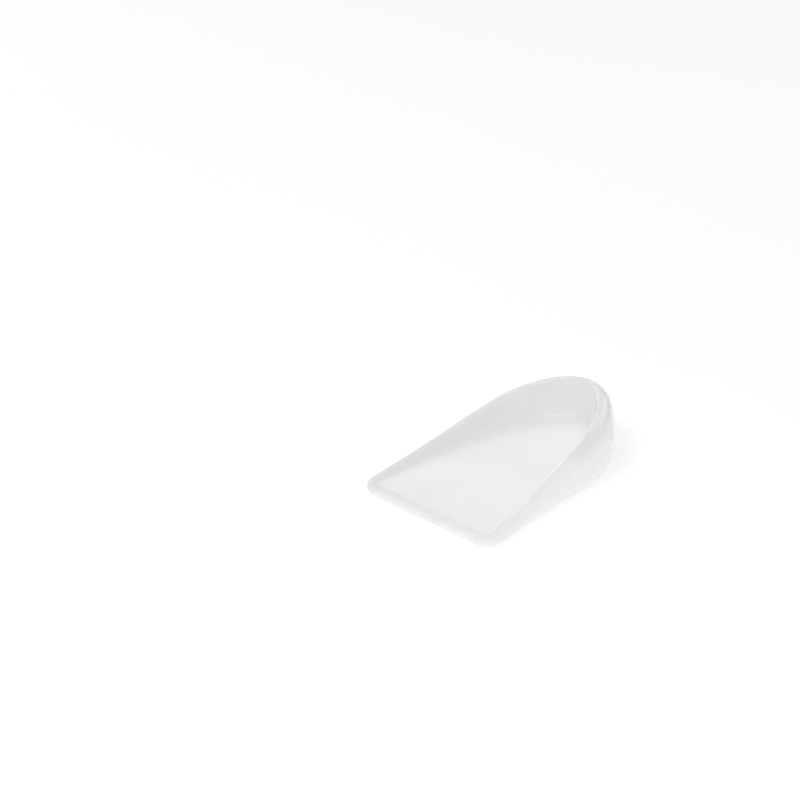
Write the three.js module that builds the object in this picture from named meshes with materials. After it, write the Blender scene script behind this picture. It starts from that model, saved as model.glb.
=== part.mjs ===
// A silicone heel cup, moulded in one piece, in millimetres. It rests on Z = 0 with its open front edge at -Y,
// the back of the heel at +Y, and the origin under the middle of its box.

import * as THREE from 'three';
import { mergeVertices } from 'three/addons/utils/BufferGeometryUtils.js';

// Plan, seen from above: a straight front edge, two straight flared sides and a round heel
const CUP_LENGTH = 98;
const FRONT_WIDTH = 68;
const HEEL_WIDTH = 54.6;
const HEEL_ROUND_LENGTH = 36;
const FRONT_CORNER_RADIUS = 5.8;

// Height of the rim and thickness of the floor
const FRONT_HEIGHT = 3.7;
const HEEL_HEIGHT = 27.6;
const FRONT_LIP = 0.3;
const HEEL_FLOOR_THICKNESS = 7;

// How steeply the rim leaves the front edge and meets the heel, against its mean slope
const RIM_START_SLOPE = 0.75;
const RIM_END_SLOPE = 0.62;

// Outer wall: how far it swells and leans in at the heel, and the rounding of its lower and upper edges
const WALL_BULGE = 2.3;
const WALL_LEAN = 1.1;
const BASE_EDGE_RADIUS = 2.8;
const FRONT_SHOULDER_DEPTH = 1.5;
const FRONT_SHOULDER_HEIGHT = 0.7;
const HEEL_SHOULDER_DEPTH = 3.7;
const HEEL_SHOULDER_HEIGHT = 5.2;

// Inner wall and bowl: a steep wall down to the edge of a rounded bowl that the heel sits in
const RIM_INNER_RADIUS = 1.2;
const INNER_WALL_DRAFT = 1.5;
const BOWL_DEPTH = 7.4;
const BOWL_CENTRE_FROM_HEEL = 30;
const BOWL_END_FROM_FRONT = 26;

// Steps of the mesh along half of the outline and up the section
const FRONT_STEPS = 5;
const CORNER_STEPS = 6;
const SIDE_STEPS = 10;
const HEEL_STEPS = 18;
const BASE_EDGE_STEPS = 4;
const WALL_STEPS = 4;
const SHOULDER_STEPS = 5;
const RIM_INNER_STEPS = 3;
const INNER_WALL_STEPS = 2;
const BOWL_STEPS = 9;

const SILICONE_COLOUR = 0xecedf2;
const SILICONE_ROUGHNESS = 0.28;

const FRONT_Y = -CUP_LENGTH / 2;
const HEEL_Y = CUP_LENGTH / 2;
const BOWL_CENTRE_Y = HEEL_Y - BOWL_CENTRE_FROM_HEEL;
const CENTRE_LINE_START_Y = FRONT_Y + BOWL_END_FROM_FRONT;
const QUARTER_TURN = Math.PI / 2;
const SIDE_FLARE = (FRONT_WIDTH - HEEL_WIDTH) / 2 / (CUP_LENGTH - HEEL_ROUND_LENGTH);
const SIDE_ANGLE = Math.atan(SIDE_FLARE);
const HEEL_HALF_WIDTH = HEEL_WIDTH / 2 - SIDE_FLARE * HEEL_ROUND_LENGTH;

const { lerp, clamp, smoothstep } = THREE.MathUtils;

// The numbers from first to last in equal steps, without the first
function stepsAfter(first, last, count) {
  return Array.from({ length: count }, (_, i) => lerp(first, last, (i + 1) / count));
}

function planPoint(x, y, outwardX, outwardY) {
  return {
    place: new THREE.Vector2(x, y),
    outward: new THREE.Vector2(outwardX, outwardY).normalize(),
  };
}

// Half width of the straight side, a distance away from the back of the heel
function sideHalfWidth(fromHeel) {
  return HEEL_HALF_WIDTH + SIDE_FLARE * fromHeel;
}

// Plan of the +X half, from the middle of the front edge round the corner and along the side to the heel
function halfPlan() {
  const cornerY = FRONT_Y + FRONT_CORNER_RADIUS;
  const cornerX = sideHalfWidth(HEEL_Y - cornerY) - FRONT_CORNER_RADIUS / Math.cos(SIDE_ANGLE);
  const front = stepsAfter(0, cornerX, FRONT_STEPS).map((x) => planPoint(x, FRONT_Y, 0, -1));
  const corner = stepsAfter(-QUARTER_TURN, SIDE_ANGLE, CORNER_STEPS).map((angle) => planPoint(
    cornerX + FRONT_CORNER_RADIUS * Math.cos(angle),
    cornerY + FRONT_CORNER_RADIUS * Math.sin(angle),
    Math.cos(angle),
    Math.sin(angle),
  ));
  const sideStart = HEEL_Y - corner.at(-1).place.y;
  const side = stepsAfter(sideStart, HEEL_ROUND_LENGTH, SIDE_STEPS).map((fromHeel) => planPoint(
    sideHalfWidth(fromHeel),
    HEEL_Y - fromHeel,
    1,
    SIDE_FLARE,
  ));
  const heel = stepsAfter(QUARTER_TURN, 0, HEEL_STEPS).map((angle) => {
    const fromHeel = HEEL_ROUND_LENGTH * (1 - Math.cos(angle));
    return planPoint(
      HEEL_HALF_WIDTH * Math.sin(angle) + SIDE_FLARE * fromHeel,
      HEEL_Y - fromHeel,
      HEEL_ROUND_LENGTH * Math.sin(angle),
      HEEL_HALF_WIDTH * Math.cos(angle) + SIDE_FLARE * HEEL_ROUND_LENGTH * Math.sin(angle),
    );
  });
  return [planPoint(0, FRONT_Y, 0, -1), ...front, ...corner, ...side, ...heel];
}

// The closed plan, counterclockwise seen from above, with the -X half mirrored from the +X half
function wholePlan() {
  const half = halfPlan();
  const mirrored = half.slice(1, -1).reverse().map(({ place, outward }) => planPoint(
    -place.x,
    place.y,
    -outward.x,
    outward.y,
  ));
  return [...half, ...mirrored];
}

// How far the rim has risen at y, from 0 at the front edge to 1 at the back of the heel
function rimRise(y) {
  const along = clamp((y - FRONT_Y) / CUP_LENGTH, 0, 1);
  const squared = along ** 2;
  const cubed = along ** 3;
  return (cubed - 2 * squared + along) * RIM_START_SLOPE
    + 3 * squared - 2 * cubed
    + (cubed - squared) * RIM_END_SLOPE;
}

// Height of the floor along the cup's centre line
function floorHeight(y) {
  const share = smoothstep(y, FRONT_Y, BOWL_CENTRE_Y);
  return lerp(FRONT_HEIGHT - FRONT_LIP, HEEL_FLOOR_THICKNESS, share);
}

// How high the bowl's edge stands over the floor, where the inner wall meets it
function bowlEdgeRise(y) {
  return BOWL_DEPTH * rimRise(y);
}

// How far the outer wall is rounded inwards at the rim
function shoulderDepthFor(rise) {
  return lerp(FRONT_SHOULDER_DEPTH, HEEL_SHOULDER_DEPTH, rise);
}

// Offset from the plan to the crest of the rim, and from there to the bowl's edge
function crestOffsetFor(rise) {
  return -shoulderDepthFor(rise) - WALL_LEAN * rise;
}

function bowlEdgeOffsetFor(rise) {
  return crestOffsetFor(rise) - RIM_INNER_RADIUS - INNER_WALL_DRAFT;
}

// Half width of the bowl between the straight sides
function bowlHalfWidth(y) {
  return sideHalfWidth(HEEL_Y - y) + bowlEdgeOffsetFor(rimRise(y)) / Math.cos(SIDE_ANGLE);
}

// Outer wall from the underside to the crest of the rim, as outward offsets from the plan and heights
function outerWall(rise, height) {
  const shoulderDepth = shoulderDepthFor(rise);
  const shoulderHeight = lerp(FRONT_SHOULDER_HEIGHT, HEEL_SHOULDER_HEIGHT, rise);
  const shoulderStart = height - shoulderHeight;
  const edge = Math.min(BASE_EDGE_RADIUS, shoulderStart);
  const rows = [
    { offset: -edge, z: 0 },
    ...stepsAfter(0, QUARTER_TURN, BASE_EDGE_STEPS).map((angle) => ({
      offset: edge * (Math.sin(angle) - 1),
      z: edge * (1 - Math.cos(angle)),
    })),
    ...stepsAfter(edge, shoulderStart, WALL_STEPS).map((z) => ({ offset: 0, z })),
    ...stepsAfter(0, QUARTER_TURN, SHOULDER_STEPS).map((angle) => ({
      offset: shoulderDepth * (Math.cos(angle) - 1),
      z: shoulderStart + shoulderHeight * Math.sin(angle),
    })),
  ];
  return rows.map(({ offset, z }) => {
    const share = z / height;
    const bulge = WALL_BULGE * 4 * share * (1 - share);
    return { offset: offset + rise * (bulge - WALL_LEAN * share), z };
  });
}

// Inner edge of the rim and the steep inner wall, from the crest down to the edge of the bowl
function innerWall(rise, height, bowlEdgeHeight) {
  const round = Math.min(RIM_INNER_RADIUS, (height - bowlEdgeHeight) / 2);
  const crestOffset = crestOffsetFor(rise);
  const wallTop = crestOffset - RIM_INNER_RADIUS;
  return [
    ...stepsAfter(0, QUARTER_TURN, RIM_INNER_STEPS).map((angle) => ({
      offset: crestOffset - RIM_INNER_RADIUS * Math.sin(angle),
      z: height - round * (1 - Math.cos(angle)),
    })),
    ...stepsAfter(0, 1, INNER_WALL_STEPS).map((share) => ({
      offset: wallTop - INNER_WALL_DRAFT * share,
      z: lerp(height - round, bowlEdgeHeight, share),
    })),
  ];
}

// Point on the centre line that a section runs to
function centreFor(place) {
  return new THREE.Vector2(0, clamp(place.y, CENTRE_LINE_START_Y, BOWL_CENTRE_Y));
}

// The bowl from its edge to the centre line, a quarter of an ellipse that is level at the centre. Sections
// that run slantwise from the front take its height from where they are between the sides.
function bowl(edgePlace) {
  const centre = centreFor(edgePlace);
  return stepsAfter(0, QUARTER_TURN, BOWL_STEPS).map((angle) => {
    const place = edgePlace.clone().lerp(centre, 1 - Math.cos(angle));
    const slantwise = edgePlace.y < CENTRE_LINE_START_Y;
    const out = slantwise ? Math.min(Math.abs(place.x) / bowlHalfWidth(place.y), 1) : Math.cos(angle);
    const edgeRise = bowlEdgeRise(slantwise ? place.y : edgePlace.y);
    const z = floorHeight(place.y) + edgeRise * (1 - Math.sqrt(1 - out ** 2));
    return new THREE.Vector3(place.x, place.y, z);
  });
}

// Whole section at one point of the plan, from the underside's centre line out, over the rim and into the bowl
function section({ place, outward }) {
  const rise = rimRise(place.y);
  const height = lerp(FRONT_HEIGHT, HEEL_HEIGHT, rise);
  const bowlEdge = place.clone().addScaledVector(outward, bowlEdgeOffsetFor(rise));
  const bowlEdgeHeight = floorHeight(bowlEdge.y) + bowlEdgeRise(bowlEdge.y);
  const wallRows = [...outerWall(rise, height), ...innerWall(rise, height, bowlEdgeHeight)];
  const wall = wallRows.map(({ offset, z }) => new THREE.Vector3(
    place.x + outward.x * offset,
    place.y + outward.y * offset,
    z,
  ));
  const baseCentre = centreFor(place);
  return [new THREE.Vector3(baseCentre.x, baseCentre.y, 0), ...wall, ...bowl(bowlEdge)];
}

// Joins neighbouring sections into one closed mesh, without the empty triangles where sections meet
function skin(sections) {
  const rowCount = sections[0].length;
  const geometry = new THREE.BufferGeometry().setFromPoints(sections.flat());
  const corners = [];
  sections.forEach((_, column) => {
    const next = (column + 1) % sections.length;
    for (let row = 0; row < rowCount - 1; row += 1) {
      const here = column * rowCount + row;
      const beside = next * rowCount + row;
      corners.push(here, beside, beside + 1, here, beside + 1, here + 1);
    }
  });
  geometry.setIndex(corners);
  const merged = mergeVertices(geometry);
  const triangles = [];
  for (let i = 0; i < merged.index.count; i += 3) {
    const [a, b, c] = [0, 1, 2].map((corner) => merged.index.getX(i + corner));
    if (a !== b && b !== c && c !== a) {
      triangles.push(a, b, c);
    }
  }
  merged.setIndex(triangles);
  return merged;
}

// The whole cup, with the middle of its length brought over the origin
function heelCup() {
  const geometry = skin(wholePlan().map(section));
  geometry.computeBoundingBox();
  geometry.translate(0, -(geometry.boundingBox.min.y + geometry.boundingBox.max.y) / 2, 0);
  geometry.computeVertexNormals();
  const silicone = new THREE.MeshStandardMaterial({
    color: SILICONE_COLOUR,
    roughness: SILICONE_ROUGHNESS,
    metalness: 0,
  });
  const mesh = new THREE.Mesh(geometry, silicone);
  mesh.name = 'heel_cup';
  return mesh;
}

const part = new THREE.Group();
part.add(heelCup());

export default part;
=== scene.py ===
"""The looks of a clear silicone heel cup: a fine moulded skin, a pale table top, soft lights and a camera."""

import math

import bpy
import numpy as np
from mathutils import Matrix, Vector


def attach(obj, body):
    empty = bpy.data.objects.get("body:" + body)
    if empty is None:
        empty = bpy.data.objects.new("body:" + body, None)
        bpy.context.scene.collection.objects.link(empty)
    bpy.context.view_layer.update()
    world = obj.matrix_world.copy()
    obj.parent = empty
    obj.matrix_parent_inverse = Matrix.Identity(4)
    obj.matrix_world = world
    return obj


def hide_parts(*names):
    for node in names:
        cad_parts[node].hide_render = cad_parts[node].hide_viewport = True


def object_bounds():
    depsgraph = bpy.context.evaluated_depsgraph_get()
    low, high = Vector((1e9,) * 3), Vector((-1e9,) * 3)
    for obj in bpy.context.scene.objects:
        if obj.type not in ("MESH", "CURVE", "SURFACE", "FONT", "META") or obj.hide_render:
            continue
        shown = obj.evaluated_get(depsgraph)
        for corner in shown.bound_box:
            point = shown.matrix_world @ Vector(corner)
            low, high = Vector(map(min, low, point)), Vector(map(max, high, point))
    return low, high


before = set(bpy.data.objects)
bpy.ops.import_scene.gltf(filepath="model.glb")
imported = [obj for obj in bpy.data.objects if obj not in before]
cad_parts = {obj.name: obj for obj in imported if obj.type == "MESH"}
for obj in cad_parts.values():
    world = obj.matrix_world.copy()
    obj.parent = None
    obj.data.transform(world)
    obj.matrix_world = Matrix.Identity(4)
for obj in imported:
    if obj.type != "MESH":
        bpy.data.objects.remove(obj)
CAD_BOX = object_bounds()

MM = 0.001

# Plan of the cup, in metres
CUP_LENGTH = 98 * MM
FRONT_WIDTH = 68 * MM
HEEL_WIDTH = 54.6 * MM
HEEL_ROUND_LENGTH = 36 * MM
FRONT_CORNER_RADIUS = 5.8 * MM

# Height of the rim and thickness of the floor
FRONT_HEIGHT = 3.7 * MM
HEEL_HEIGHT = 27.6 * MM
FRONT_LIP = 0.3 * MM
HEEL_FLOOR_THICKNESS = 7 * MM

# How steeply the rim leaves the front edge and meets the heel, against its mean slope
RIM_START_SLOPE = 0.75
RIM_END_SLOPE = 0.62

# Outer wall
WALL_BULGE = 2.3 * MM
WALL_LEAN = 1.1 * MM
BASE_EDGE_RADIUS = 2.8 * MM
FRONT_SHOULDER_DEPTH = 1.5 * MM
FRONT_SHOULDER_HEIGHT = 0.7 * MM
HEEL_SHOULDER_DEPTH = 3.7 * MM
HEEL_SHOULDER_HEIGHT = 5.2 * MM

# Inner wall and bowl
RIM_INNER_RADIUS = 1.2 * MM
INNER_WALL_DRAFT = 1.5 * MM
BOWL_DEPTH = 7.4 * MM
BOWL_CENTRE_FROM_HEEL = 30 * MM
BOWL_END_FROM_FRONT = 26 * MM

# Steps of the fine mesh along half of the outline and up the section
FRONT_STEPS = 24
CORNER_STEPS = 16
SIDE_STEPS = 48
HEEL_STEPS = 72
BASE_EDGE_STEPS = 10
WALL_STEPS = 14
SHOULDER_STEPS = 14
RIM_INNER_STEPS = 8
INNER_WALL_STEPS = 8
BOWL_STEPS = 36

# How many rows are softened above the bowl's edge, with as many from the edge down, and how often
CREASE_REACH = 6
CREASE_PASSES = 8

# Digits of a metre in which two points have to agree to be one
POINT_DIGITS = 8

# How far below the crest of the rim the colour is greyed, as painted shade for the darker band under the rim
# and on the front edge and partly as thin silicone looks; how strong this is at the heel against the front
# edge, and how much of it is left at the edge of the bowl
THIN_AND_SHADE_REACH = 9 * MM
HEEL_THIN_AND_SHADE = 0.25
BOWL_EDGE_THIN_AND_SHADE = 0.5

# Places and slopes worked out from the sizes above
FRONT_Y = -CUP_LENGTH / 2
HEEL_Y = CUP_LENGTH / 2
BOWL_CENTRE_Y = HEEL_Y - BOWL_CENTRE_FROM_HEEL
CENTRE_LINE_START_Y = FRONT_Y + BOWL_END_FROM_FRONT
QUARTER_TURN = math.pi / 2
SIDE_FLARE = (FRONT_WIDTH - HEEL_WIDTH) / 2 / (CUP_LENGTH - HEEL_ROUND_LENGTH)
SIDE_ANGLE = math.atan(SIDE_FLARE)
HEEL_HALF_WIDTH = HEEL_WIDTH / 2 - SIDE_FLARE * HEEL_ROUND_LENGTH

WHITE = (1, 1, 1, 1)

# Silicone: a milky body, faintly cloudy and a little greyer near the rim, as painted shade and partly as thin
# silicone looks, under a gloss with some haze
SILICONE_IOR = 1.41
CLEAR_SHARE = 0.15
SCATTER_RADIUS = (0.97, 0.98, 1.0)
SCATTER_SCALE = 8 * MM
CLOUD_DARK = (0.90, 0.898, 0.914, 1)
CLOUD_LIGHT = (0.94, 0.937, 0.95, 1)
CLOUD_STOPS = (0.3, 0.7)
# The next tint is painted shade near the rim and on the front edge, partly how thin silicone looks
THIN_SILICONE_AND_SHADE_TINT = (0.895, 0.895, 0.905, 1)
ROUGHNESS_RANGE = (0.1, 0.18)

# Relief of the silicone's surface, as strength and height
WAVE_RELIEF = (0.2, 0.3 * MM)
GRAIN_RELIEF = (0.08, 0.05 * MM)

# Table top, in metres, which glows so that it hardly takes a shadow
FLOOR_HALF_WIDTH = 6.0
FLOOR_ROUGHNESS = 0.9
FLOOR_DARK = (0.67, 0.67, 0.675, 1)
FLOOR_LIGHT = (0.69, 0.69, 0.69, 1)
TABLE_GLOW = 0.43

# Noises, as scale, detail and roughness
NOISES = {
    "cloud": (55.0, 3.0, 0.5),
    "haze": (140.0, 4.0, 0.6),
    "wave": (45.0, 2.0, 0.4),
    "grain": (1800.0, 2.0, 0.5),
    "mottle": (3.0, 2.0, 0.5),
}

# The camera's place, in degrees and metres
CAMERA_AZIMUTH = 44.83
CAMERA_ELEVATION = 26.0
CAMERA_DISTANCE = 0.9
SENSOR_WIDTH = 36

# The photograph's square frame in pixels, its scale, and where the cup's near front corner lies in it
PHOTO_SIZE = 800
PIXELS_PER_METRE = 2712.3
CORNER_PIXEL = (493.75, 550.14)

# Light: an even room and round softboxes, as name, azimuth and elevation in degrees, width in metres and
# watts. The sparks are small, for the highlights on the rim alone.
ROOM_LIGHT = 0.42
SOFTBOX_DISTANCE = 1.2
SOFTBOXES = (
    ("front_high", 0, 55, 0.5, 3.2),
    ("near_high", 45, 55, 0.5, 2.4),
    ("left_middle", 270, 30, 1.0, 1.9),
    ("left_low", 270, 8, 0.5, 0.4),
    ("behind_middle", 180, 30, 0.5, 1.0),
    ("right_low", 135, 8, 1.0, 1.15),
    ("spark_near_rim", 237, 51.5, 0.06, 0.38),
    ("spark_back_rim", 255, 42, 0.06, 0.04),
)

# How often light may bounce: more than usual, because the silicone and the table top are so pale
MAX_BOUNCES = 16
DIFFUSE_BOUNCES = 12
GLOSSY_BOUNCES = 8


def lerp(start, end, share):
    return start + (end - start) * share


def steps_after(start, end, count):
    """The numbers from start to end in equal steps, without the start."""
    return start + (end - start) * np.arange(1, count + 1) / count


def side_half_width(from_heel):
    return HEEL_HALF_WIDTH + SIDE_FLARE * from_heel


def half_plan():
    """Places and outward directions along the +X half, from the middle of the front edge to the heel."""
    corner_y = FRONT_Y + FRONT_CORNER_RADIUS
    corner_x = side_half_width(HEEL_Y - corner_y) - FRONT_CORNER_RADIUS / math.cos(SIDE_ANGLE)
    places = [(0, FRONT_Y)]
    outward = [(0, -1)]
    for x in steps_after(0, corner_x, FRONT_STEPS):
        places.append((x, FRONT_Y))
        outward.append((0, -1))
    for angle in steps_after(-QUARTER_TURN, SIDE_ANGLE, CORNER_STEPS):
        out_x = math.cos(angle)
        out_y = math.sin(angle)
        places.append((corner_x + FRONT_CORNER_RADIUS * out_x, corner_y + FRONT_CORNER_RADIUS * out_y))
        outward.append((out_x, out_y))
    side_start = HEEL_Y - places[-1][1]
    for from_heel in steps_after(side_start, HEEL_ROUND_LENGTH, SIDE_STEPS):
        places.append((side_half_width(from_heel), HEEL_Y - from_heel))
        outward.append((1, SIDE_FLARE))
    for angle in steps_after(QUARTER_TURN, 0, HEEL_STEPS):
        from_heel = HEEL_ROUND_LENGTH * (1 - math.cos(angle))
        across = HEEL_ROUND_LENGTH * math.sin(angle)
        places.append((HEEL_HALF_WIDTH * math.sin(angle) + SIDE_FLARE * from_heel, HEEL_Y - from_heel))
        outward.append((across, HEEL_HALF_WIDTH * math.cos(angle) + SIDE_FLARE * across))
    outward = np.array(outward, float)
    return np.array(places, float), outward / np.linalg.norm(outward, axis=1)[:, None]


def whole_plan():
    """The closed plan, counterclockwise from above, with the -X half mirrored from the +X half."""
    mirror = np.array([-1.0, 1.0])
    places, outward = half_plan()
    return (
        np.vstack([places, places[-2:0:-1] * mirror]),
        np.vstack([outward, outward[-2:0:-1] * mirror]),
    )


def rim_rise(y):
    """How far the rim has risen at y, from 0 at the front edge to 1 at the back of the heel."""
    along = np.clip((y - FRONT_Y) / CUP_LENGTH, 0, 1)
    squared = along**2
    cubed = along**3
    return (
        (cubed - 2 * squared + along) * RIM_START_SLOPE
        + 3 * squared
        - 2 * cubed
        + (cubed - squared) * RIM_END_SLOPE
    )


def floor_height(y):
    share = np.clip((y - FRONT_Y) / (BOWL_CENTRE_Y - FRONT_Y), 0, 1)
    return lerp(FRONT_HEIGHT - FRONT_LIP, HEEL_FLOOR_THICKNESS, share**2 * (3 - 2 * share))


def bowl_edge_rise(y):
    return BOWL_DEPTH * rim_rise(y)


def crest_offset(rise):
    return -lerp(FRONT_SHOULDER_DEPTH, HEEL_SHOULDER_DEPTH, rise) - WALL_LEAN * rise


def bowl_edge_offset(rise):
    return crest_offset(rise) - RIM_INNER_RADIUS - INNER_WALL_DRAFT


def bowl_half_width(y):
    return side_half_width(HEEL_Y - y) + bowl_edge_offset(rim_rise(y)) / math.cos(SIDE_ANGLE)


def outer_wall(rise, height):
    """Rows of the outer wall from the underside to the crest of the rim, as (outward offset, height)."""
    shoulder_depth = lerp(FRONT_SHOULDER_DEPTH, HEEL_SHOULDER_DEPTH, rise)
    shoulder_height = lerp(FRONT_SHOULDER_HEIGHT, HEEL_SHOULDER_HEIGHT, rise)
    shoulder_start = height - shoulder_height
    edge = np.minimum(BASE_EDGE_RADIUS, shoulder_start)
    rows = [(-edge, 0 * height)]
    for angle in steps_after(0, QUARTER_TURN, BASE_EDGE_STEPS):
        rows.append((edge * (math.sin(angle) - 1), edge * (1 - math.cos(angle))))
    for share in steps_after(0, 1, WALL_STEPS):
        rows.append((0 * height, lerp(edge, shoulder_start, share)))
    for angle in steps_after(0, QUARTER_TURN, SHOULDER_STEPS):
        offset = shoulder_depth * (math.cos(angle) - 1)
        rows.append((offset, shoulder_start + shoulder_height * math.sin(angle)))
    swollen = []
    for offset, z in rows:
        share = z / height
        bulge = WALL_BULGE * 4 * share * (1 - share)
        swollen.append((offset + rise * (bulge - WALL_LEAN * share), z))
    return swollen


def inner_wall(rise, height, edge_height):
    """Rows from the crest of the rim down the steep inner wall to the edge of the bowl."""
    round_height = np.minimum(RIM_INNER_RADIUS, (height - edge_height) / 2)
    crest = crest_offset(rise)
    rows = []
    for angle in steps_after(0, QUARTER_TURN, RIM_INNER_STEPS):
        offset = crest - RIM_INNER_RADIUS * math.sin(angle)
        rows.append((offset, height - round_height * (1 - math.cos(angle))))
    for share in steps_after(0, 1, INNER_WALL_STEPS):
        offset = crest - RIM_INNER_RADIUS - INNER_WALL_DRAFT * share
        rows.append((offset, lerp(height - round_height, edge_height, share)))
    return rows


def centre_for(places):
    """Points on the centre line that the sections run to."""
    y = np.clip(places[:, 1], CENTRE_LINE_START_Y, BOWL_CENTRE_Y)
    return np.column_stack([0 * y, y])


def bowl_rows(edge):
    """Rows of the bowl from its edge to the centre line, level there."""
    centre = centre_for(edge)
    slantwise = edge[:, 1] < CENTRE_LINE_START_Y
    rows = []
    for angle in steps_after(0, QUARTER_TURN, BOWL_STEPS):
        place = lerp(edge, centre, 1 - math.cos(angle))
        across = np.minimum(np.abs(place[:, 0]) / bowl_half_width(place[:, 1]), 1)
        out = np.where(slantwise, across, math.cos(angle))
        edge_rise = bowl_edge_rise(np.where(slantwise, place[:, 1], edge[:, 1]))
        z = floor_height(place[:, 1]) + edge_rise * (1 - np.sqrt(1 - out**2))
        rows.append(np.column_stack([place, z]))
    return rows


def soften_bowl_edge(rows):
    """Rounds the crease where the inner wall meets the bowl, as the mould leaves it."""
    edge_row = 1 + BASE_EDGE_STEPS + WALL_STEPS + SHOULDER_STEPS + RIM_INNER_STEPS + INNER_WALL_STEPS
    crease = slice(edge_row - CREASE_REACH, edge_row + CREASE_REACH)
    before = slice(crease.start - 1, crease.stop - 1)
    after = slice(crease.start + 1, crease.stop + 1)
    for _ in range(CREASE_PASSES):
        rows[crease] = rows[crease] / 2 + (rows[before] + rows[after]) / 4


def cup_rows():
    """The cup's surface as rows of points round the plan, from the underside's centre line to the bowl's.

    With it comes how much the colour is greyed at each point, as painted shade under the rim and on the front
    edge and partly as thin silicone looks, from 0 in the body to 1 at the crest of the front edge.
    """
    places, outward = whole_plan()
    rise = rim_rise(places[:, 1])
    height = lerp(FRONT_HEIGHT, HEEL_HEIGHT, rise)
    edge = places + outward * bowl_edge_offset(rise)[:, None]
    edge_height = floor_height(edge[:, 1]) + bowl_edge_rise(edge[:, 1])
    rows = [np.column_stack([centre_for(places), 0 * rise])]
    for offset, z in outer_wall(rise, height) + inner_wall(rise, height, edge_height):
        rows.append(np.column_stack([places + outward * offset[:, None], z]))
    wall_rows = len(rows)
    rows = np.array(rows + bowl_rows(edge))
    soften_bowl_edge(rows)
    rows[..., 1] -= (rows[..., 1].min() + rows[..., 1].max()) / 2
    # Painted shade: the colour is greyed from the crest of the rim down, less at the heel and in the bowl,
    # partly as thin silicone looks
    below_rim = (height - rows[..., 2]) / THIN_AND_SHADE_REACH
    thin_and_shade = np.clip(1 - below_rim, 0, 1) * lerp(1, HEEL_THIN_AND_SHADE, rise)
    thin_and_shade[wall_rows:] *= np.linspace(BOWL_EDGE_THIN_AND_SHADE, 0, len(rows) - wall_rows)[:, None]
    return rows, thin_and_shade


def mesh_from_rows(name, rows, thin_and_shade):
    """Joins rows of points into one closed smooth mesh, with the points that coincide merged."""
    row_count, column_count = rows.shape[:2]
    points, kept, merged = np.unique(
        np.round(rows.reshape(-1, 3), POINT_DIGITS),
        axis=0,
        return_index=True,
        return_inverse=True,
    )
    merged = merged.reshape(row_count, column_count)
    faces = []
    for row in range(row_count - 1):
        for column in range(column_count):
            beside = (column + 1) % column_count
            corners = [
                merged[row, column],
                merged[row, beside],
                merged[row + 1, beside],
                merged[row + 1, column],
            ]
            face = list(dict.fromkeys(int(corner) for corner in corners))
            if len(face) > 2:
                faces.append(face)
    mesh = bpy.data.meshes.new(name)
    mesh.from_pydata(points.tolist(), [], faces)
    # The grey near the rim, painted shade and partly the look of thin silicone, goes to the shader as a point
    # attribute
    thin_and_shade_layer = mesh.attributes.new("thin_and_shade", "FLOAT", "POINT")
    thin_and_shade_layer.data.foreach_set("value", thin_and_shade.reshape(-1)[kept].astype(np.float32))
    mesh.validate()
    mesh.shade_smooth()
    piece = bpy.data.objects.new(name, mesh)
    bpy.context.scene.collection.objects.link(piece)
    return piece


def set_inputs(node, inputs):
    for name, value in inputs.items():
        node.inputs[name].default_value = value


def new_material(name, inputs):
    """A material with the given values on its shader. Returns it with its node tree and its shader."""
    material = bpy.data.materials.new(name)
    material.use_nodes = True
    shader = material.node_tree.nodes["Principled BSDF"]
    set_inputs(shader, inputs)
    return material, material.node_tree, shader


def add_noise(tree, name):
    """The noise of that name over the piece's own coordinates, from 0 to 1."""
    scale, detail, roughness = NOISES[name]
    place = tree.nodes.new("ShaderNodeTexCoord")
    noise = tree.nodes.new("ShaderNodeTexNoise")
    set_inputs(noise, {"Scale": scale, "Detail": detail, "Roughness": roughness})
    tree.links.new(place.outputs["Object"], noise.inputs["Vector"])
    return noise.outputs["Fac"]


def add_ramp(tree, share, dark, light, stops=(0, 1)):
    """A colour that goes from dark to light as the share goes from the first stop to the second."""
    ramp = tree.nodes.new("ShaderNodeValToRGB")
    for element, stop, colour in zip(ramp.color_ramp.elements, stops, (dark, light)):
        element.position = stop
        element.color = colour
    tree.links.new(share, ramp.inputs["Fac"])
    return ramp.outputs["Color"]


def add_multiply(tree, share, colour, tint):
    """The colour, multiplied by the tint as far as the share says."""
    mix = tree.nodes.new("ShaderNodeMix")
    mix.data_type = "RGBA"
    mix.blend_type = "MULTIPLY"
    mix.inputs["B"].default_value = tint
    tree.links.new(share, mix.inputs["Factor"])
    tree.links.new(colour, mix.inputs["A"])
    return mix.outputs["Result"]


def add_range(tree, share, low_and_high):
    """A number that goes from low to high with the share."""
    scaled = tree.nodes.new("ShaderNodeMapRange")
    low, high = low_and_high
    set_inputs(scaled, {"To Min": low, "To Max": high})
    tree.links.new(share, scaled.inputs["Value"])
    return scaled.outputs["Result"]


def add_bump(tree, height, relief):
    """A bump node for that height, with the relief's strength and height."""
    strength, distance = relief
    bump = tree.nodes.new("ShaderNodeBump")
    set_inputs(bump, {"Strength": strength, "Distance": distance})
    tree.links.new(height, bump.inputs["Height"])
    return bump


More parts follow.
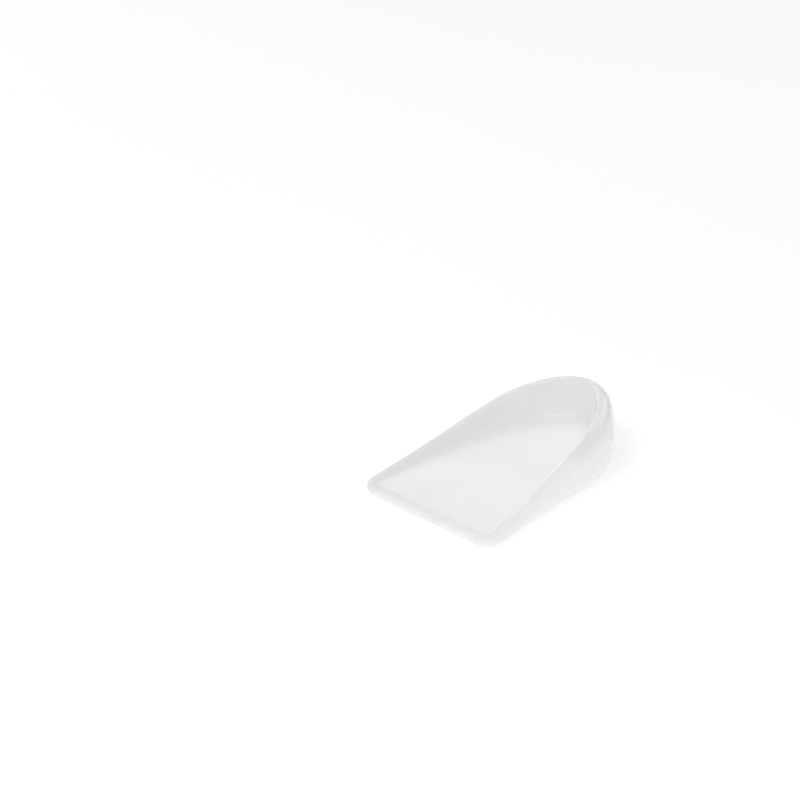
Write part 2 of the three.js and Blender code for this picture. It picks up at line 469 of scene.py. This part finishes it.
def silicone_material():
    """Milky clear silicone: a smooth gloss over a faintly cloudy body that light sinks into."""
    material, tree, shader = new_material(
        "milky_silicone",
        {
            "IOR": SILICONE_IOR,
            "Transmission Weight": CLEAR_SHARE,
            "Subsurface Weight": 1.0,
            "Subsurface Radius": SCATTER_RADIUS,
            "Subsurface Scale": SCATTER_SCALE,
        },
    )
    thin_and_shade = tree.nodes.new("ShaderNodeAttribute")
    thin_and_shade.attribute_name = "thin_and_shade"
    cloud = add_ramp(tree, add_noise(tree, "cloud"), CLOUD_DARK, CLOUD_LIGHT, CLOUD_STOPS)
    # Painted shade: the colour is multiplied by the grey tint near the rim and on the front edge, partly as
    # thin silicone looks
    colour = add_multiply(tree, thin_and_shade.outputs["Fac"], cloud, THIN_SILICONE_AND_SHADE_TINT)
    tree.links.new(colour, shader.inputs["Base Color"])

    gloss = add_range(tree, add_noise(tree, "haze"), ROUGHNESS_RANGE)
    tree.links.new(gloss, shader.inputs["Roughness"])

    waves = add_bump(tree, add_noise(tree, "wave"), WAVE_RELIEF)
    grain = add_bump(tree, add_noise(tree, "grain"), GRAIN_RELIEF)
    tree.links.new(waves.outputs["Normal"], grain.inputs["Normal"])
    tree.links.new(grain.outputs["Normal"], shader.inputs["Normal"])
    return material


def floor_material():
    """A plain pale matt table top that glows as well, so that it hardly takes a shadow."""
    material, tree, shader = new_material(
        "pale_floor",
        {
            "Roughness": FLOOR_ROUGHNESS,
            "Emission Color": WHITE,
            "Emission Strength": TABLE_GLOW,
        },
    )
    colour = add_ramp(tree, add_noise(tree, "mottle"), FLOOR_DARK, FLOOR_LIGHT)
    tree.links.new(colour, shader.inputs["Base Color"])
    return material


def add_floor():
    half = FLOOR_HALF_WIDTH
    mesh = bpy.data.meshes.new("floor")
    corners = [(-half, -half, 0), (half, -half, 0), (half, half, 0), (-half, half, 0)]
    mesh.from_pydata(corners, [], [(0, 1, 2, 3)])
    mesh.materials.append(floor_material())
    floor = bpy.data.objects.new("floor", mesh)
    bpy.context.scene.collection.objects.link(floor)


def direction(azimuth, elevation):
    """Unit vector from the cup towards a place: azimuth 0 is -Y and 90 is +X, in degrees."""
    a = math.radians(azimuth)
    e = math.radians(elevation)
    return Vector((math.sin(a) * math.cos(e), -math.cos(a) * math.cos(e), math.sin(e)))


def add_softbox(name, azimuth, elevation, width, watts):
    """A round area light that faces the cup."""
    data = bpy.data.lights.new(name, "AREA")
    data.shape = "DISK"
    data.size = width
    data.energy = watts
    lamp = bpy.data.objects.new(name, data)
    towards = direction(azimuth, elevation)
    lamp.location = towards * SOFTBOX_DISTANCE
    lamp.rotation_euler = towards.to_track_quat("Z", "Y").to_euler()
    bpy.context.scene.collection.objects.link(lamp)


def add_world():
    world = bpy.data.worlds.new("studio")
    world.use_nodes = True
    set_inputs(world.node_tree.nodes["Background"], {"Color": WHITE, "Strength": ROOM_LIGHT})
    bpy.context.scene.world = world


def add_camera():
    """The photograph's camera: it looks past the cup, which lies low and right in the frame."""
    data = bpy.data.cameras.new("camera")
    camera = bpy.data.objects.new("camera", data)
    bpy.context.scene.collection.objects.link(camera)
    back = direction(CAMERA_AZIMUTH, CAMERA_ELEVATION)
    right = direction(CAMERA_AZIMUTH + 90, 0)
    up = back.cross(right)
    corner = Vector((FRONT_WIDTH / 2, CAD_BOX[0][1] + BASE_EDGE_RADIUS, 0))
    middle = PHOTO_SIZE / 2
    aside = (CORNER_PIXEL[0] - middle) / PIXELS_PER_METRE
    below = (CORNER_PIXEL[1] - middle) / PIXELS_PER_METRE
    camera.location = corner + back * CAMERA_DISTANCE - right * aside + up * below
    camera.rotation_euler = back.to_track_quat("Z", "Y").to_euler()
    data.sensor_width = SENSOR_WIDTH
    data.lens = SENSOR_WIDTH * PIXELS_PER_METRE * CAMERA_DISTANCE / PHOTO_SIZE
    bpy.context.scene.camera = camera


add_camera()
add_world()
add_floor()
for name, azimuth, elevation, width, watts in SOFTBOXES:
    add_softbox(name, azimuth, elevation, width, watts)

cup = mesh_from_rows("heel_cup_skin", *cup_rows())
cup.data.materials.append(silicone_material())
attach(cup, "root")
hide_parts("heel_cup")

bpy.context.scene.view_settings.view_transform = "Standard"
bpy.context.scene.cycles.max_bounces = MAX_BOUNCES
bpy.context.scene.cycles.diffuse_bounces = DIFFUSE_BOUNCES
bpy.context.scene.cycles.glossy_bounces = GLOSSY_BOUNCES
